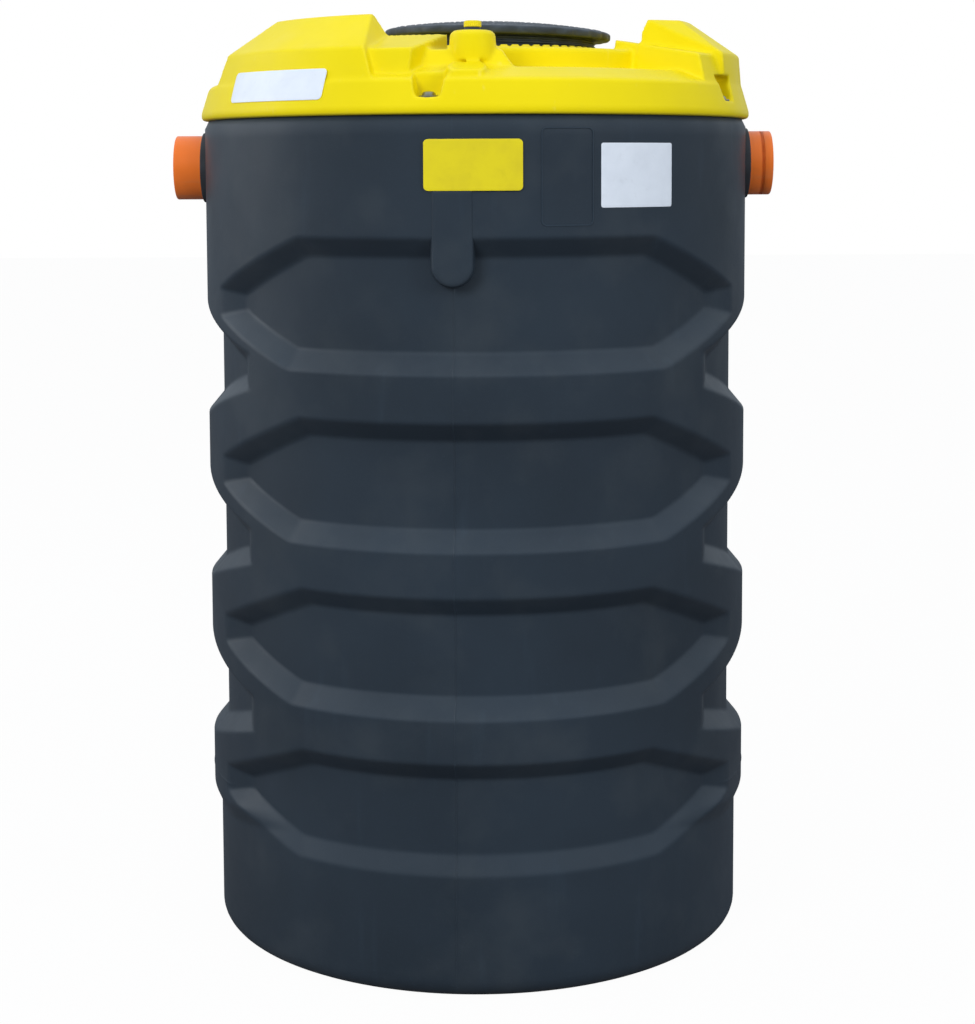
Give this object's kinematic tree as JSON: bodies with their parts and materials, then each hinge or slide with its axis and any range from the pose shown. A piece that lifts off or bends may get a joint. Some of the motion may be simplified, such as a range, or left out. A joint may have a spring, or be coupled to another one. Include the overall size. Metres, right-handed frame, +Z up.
{
  "type": "septic tank",
  "caption": "Upright moulded septic tank with staggered recessed panels, a humped bolted cover, a round manhole lid, a small vent and two drain pipe stubs",
  "frame": {"origin": "centre of the base, on the ground", "axes": "+Z up; the front with the rib looks along -Y; +X is the inlet side"},
  "size_m": [1.172, 1.072, 1.7703],
  "materials": {
    "tank": "dark blue-grey rotationally moulded polyethylene",
    "cover": "bright yellow moulded polyethylene, satin",
    "lid": "black moulded plastic with anti-slip texture",
    "pipe": "orange-brown drain pipe PVC",
    "seal": "black rubber"
  },
  "bodies": {
    "root": {"tank_base": "tank", "wall_front": "tank", "wall_right": "tank", "wall_back": "tank", "wall_left": "tank", "front_rib": "tank", "tank_rim": "tank", "cover_skirt": "cover", "cover_deck": "cover", "hump_left": "cover", "hump_right": "cover", "hump_back": "cover", "step_left": "cover", "step_right": "cover", "manhole_turret": "cover", "manhole_collar": "cover", "manhole_neck": "lid", "manhole_lid": "lid", "vent_platform": "cover", "vent_boss": "cover", "vent_neck": "lid", "vent_cap": "cover", "shoulder_boss": "cover", "inlet_pipe": "pipe", "outlet_pipe": "pipe", "inlet_seal": "seal", "outlet_seal": "seal"}
  },
  "joints": []
}
